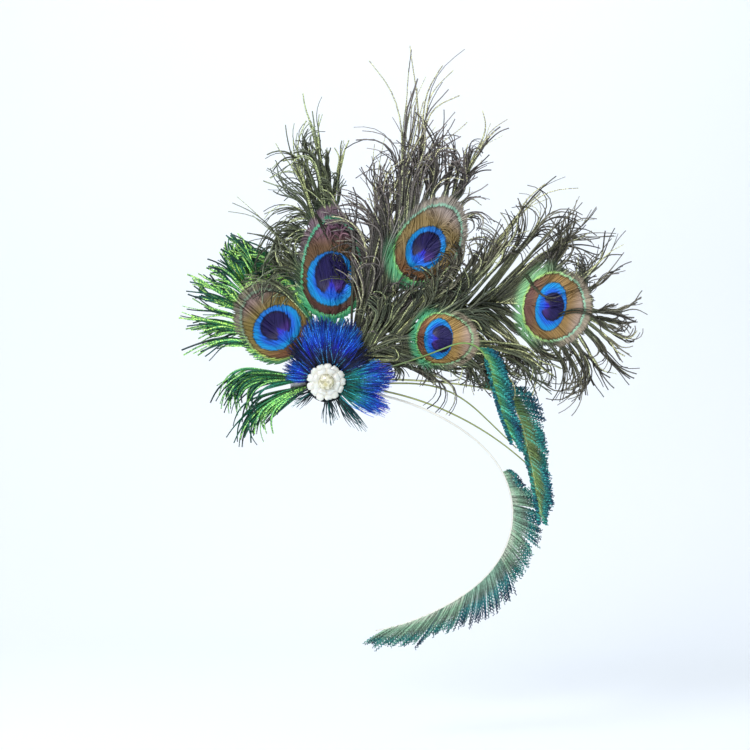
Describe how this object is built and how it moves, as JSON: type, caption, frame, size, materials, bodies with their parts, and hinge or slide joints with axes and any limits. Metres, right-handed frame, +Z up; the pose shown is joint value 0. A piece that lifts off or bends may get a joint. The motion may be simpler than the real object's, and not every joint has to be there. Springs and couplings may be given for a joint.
{
  "type": "peacock feather hair clip",
  "caption": "Worn feather spray: curved peacock eye and sword feathers fan out from a felt pad under a blue plume rosette and a white flower button, on a flat spring clip.",
  "frame": {"origin": "middle of the spring clip's flat back, where the clip lies against the hair, straight behind the flower button", "axes": "+Y out of the clip's back into the hair, -Y the way the spray faces, +Z up as worn at the temple, +X the way the long feathers sweep"},
  "size_m": [0.3006, 0.0658, 0.3967],
  "materials": {
    "clip_metal": "satin",
    "felt": "matte",
    "eye_feather": "satin",
    "sword_feather": "satin",
    "quill": "satin",
    "green_herl": "satin",
    "blue_plume": "satin",
    "dark_plume": "satin",
    "flower": "glossy",
    "stone": "glossy"
  },
  "bodies": {
    "root": {"spring_clip": "clip_metal", "felt_pad": "felt", "eye_feather_front": "eye_feather", "eye_feather_top": "eye_feather", "eye_feather_crown": "eye_feather", "eye_feather_back": "eye_feather", "eye_feather_low": "eye_feather", "sword_feather_long": "sword_feather", "sword_feather_middle": "sword_feather", "sword_feather_short": "sword_feather", "bare_stem_upper": "quill", "bare_stem_lower": "quill", "green_tuft_upper": "green_herl", "green_tuft_lower": "green_herl", "blue_plume_1": "blue_plume", "blue_plume_2": "blue_plume", "blue_plume_3": "blue_plume", "blue_plume_4": "blue_plume", "blue_plume_5": "blue_plume", "blue_plume_6": "blue_plume", "blue_plume_7": "blue_plume", "dark_plume_1": "dark_plume", "dark_plume_2": "dark_plume", "dark_plume_3": "dark_plume", "flower_button": "flower", "centre_stone": "stone"}
  },
  "joints": []
}
